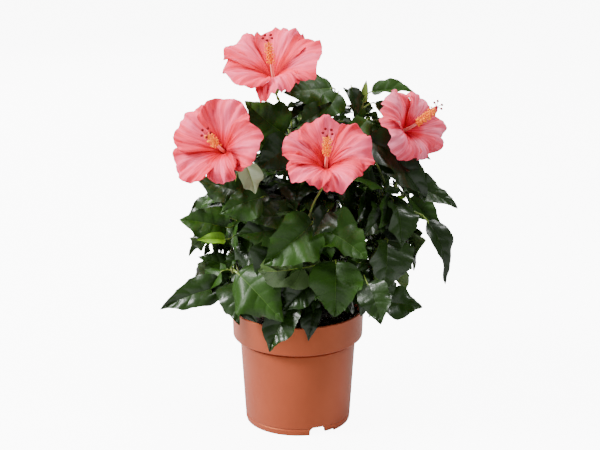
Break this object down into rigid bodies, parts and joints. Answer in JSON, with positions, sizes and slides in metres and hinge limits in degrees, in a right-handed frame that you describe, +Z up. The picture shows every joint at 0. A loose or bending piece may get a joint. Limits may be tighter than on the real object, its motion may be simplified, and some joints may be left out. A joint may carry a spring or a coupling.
{
  "type": "potted hibiscus shrub",
  "caption": "Compact flowering shrub with glossy leaves and large ruffled open flowers, growing in a round terracotta-coloured plastic nursery pot.",
  "frame": {"origin": "centre of the pot's flat underside", "axes": "+Z up along the plant's height, +X to the plant's right as pictured, -Y towards its front"},
  "size_m": [0.2891, 0.2285, 0.396],
  "materials": {
    "pot_plastic": "satin moulded plastic, terracotta colour",
    "compost": "dark moist compost",
    "bark": "thin grey-brown bark",
    "leaf": "glossy dark green leaf",
    "petal": "soft pink petal"
  },
  "bodies": {
    "root": {"pot": "pot_plastic", "compost": "compost", "trunk": "bark", "bough_front": "bark", "bough_low_front": "bark", "bough_left": "bark", "bough_low_left": "bark", "bough_upper_left": "bark", "bough_right": "bark", "bough_low_right": "bark", "bough_upper_right": "bark", "bough_back_left": "bark", "bough_back": "bark", "bough_back_right": "bark", "bough_low_back": "bark", "bough_low_back_left": "bark", "bough_low_back_right": "bark", "foliage_crown": "leaf", "foliage_front": "leaf", "foliage_low_front": "leaf", "foliage_left": "leaf", "foliage_low_left": "leaf", "foliage_upper_left": "leaf", "foliage_right": "leaf", "foliage_low_right": "leaf", "foliage_upper_right": "leaf", "foliage_back_left": "leaf", "foliage_back": "leaf", "foliage_back_right": "leaf", "foliage_low_back": "leaf", "foliage_low_back_left": "leaf", "foliage_low_back_right": "leaf", "bloom_top": "petal", "bloom_left": "petal", "bloom_front": "petal", "bloom_right": "petal"}
  },
  "joints": []
}
